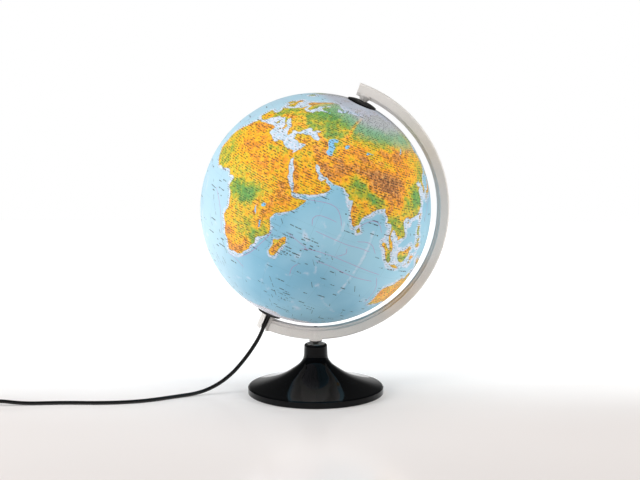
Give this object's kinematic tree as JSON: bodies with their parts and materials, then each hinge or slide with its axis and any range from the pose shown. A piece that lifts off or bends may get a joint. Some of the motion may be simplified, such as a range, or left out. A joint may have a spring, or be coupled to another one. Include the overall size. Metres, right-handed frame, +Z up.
{
  "type": "desktop globe on stand",
  "caption": "Lit desk globe turning on a tilted axis in a silver half-meridian arm, on a black bell base with a mains lead.",
  "frame": {"origin": "centre of the base's underside, on the surface it stands on, below the globe's centre", "axes": "+Z up; the arm's plane is XZ, with the north pole leaning towards +X; -Y is the front"},
  "size_m": [0.7413, 0.3, 0.411],
  "materials": {
    "map_print": "printed relief map with a soft satin varnish",
    "black_plastic": "satin black moulding",
    "black_gloss": "high-gloss black moulding",
    "silver_plastic": "satin silver paint on a plastic moulding",
    "white_plastic": "white heat-proof plastic",
    "wire_insulation": "thin coloured insulation",
    "steel": "zinc-plated steel",
    "dark_steel": "blackened steel",
    "nickel": "nickel-plated",
    "brass": "stamped brass",
    "bulb_glass": "clear glass",
    "felt": "thin black felt",
    "cord_jacket": "smooth black cord jacket",
    "switch_plastic": "black moulded switch housing",
    "plug_plastic": "soft black moulded plug"
  },
  "bodies": {
    "stand": {"arm_thread_insert": "brass", "base_ballast": "steel", "base_bell": "black_gloss", "base_bottom_plate": "black_plastic", "base_felt_disc": "felt", "base_screws": "steel", "bolt_washer": "steel", "bulb_contact_tip": "nickel", "bulb_filament": "nickel", "bulb_glass": "bulb_glass", "bulb_screw_cap": "nickel", "cord_coil": "cord_jacket", "cord_coil_to_plug": "cord_jacket", "cord_grip": "black_plastic", "cord_switch_to_coil": "cord_jacket", "cord_tie": "black_plastic", "foot_washer": "black_plastic", "lamp_stem": "silver_plastic", "lampholder_body": "white_plastic", "lampholder_contact": "brass", "lampholder_insulator": "white_plastic", "lampholder_sleeve": "brass", "meridian_arm": "silver_plastic", "neck_spacer": "dark_steel", "north_pivot_pin": "steel", "plug_body": "plug_plastic", "plug_boot": "plug_plastic", "plug_pins": "nickel", "power_cord": "cord_jacket", "stem_bolt": "steel", "stem_grub_screw": "steel", "supply_wires": "wire_insulation", "switch_base": "switch_plastic", "switch_contacts": "brass", "switch_cover": "switch_plastic", "switch_screws": "steel"},
    "globe": {"north_hemisphere": "map_print", "south_hemisphere": "map_print", "equator_joining_ring": "white_plastic", "north_pole_cap": "black_plastic", "north_cap_retainer": "white_plastic", "south_pole_collar": "black_plastic", "south_collar_retainer": "white_plastic"},
    "rocker": {"switch_rocker": "switch_plastic"}
  },
  "joints": [
    {"name": "globe_spin", "type": "hinge", "parent": "stand", "child": "globe", "pos_m": [0, 0, 0.247], "axis": [0.3987, 0, 0.9171], "continuous": true},
    {"name": "switch_rock", "type": "hinge", "parent": "stand", "child": "rocker", "pos_m": [-0.453, -0.0744, 0.013], "axis": [0, -1, 0], "range_deg": [0, 16]}
  ]
}
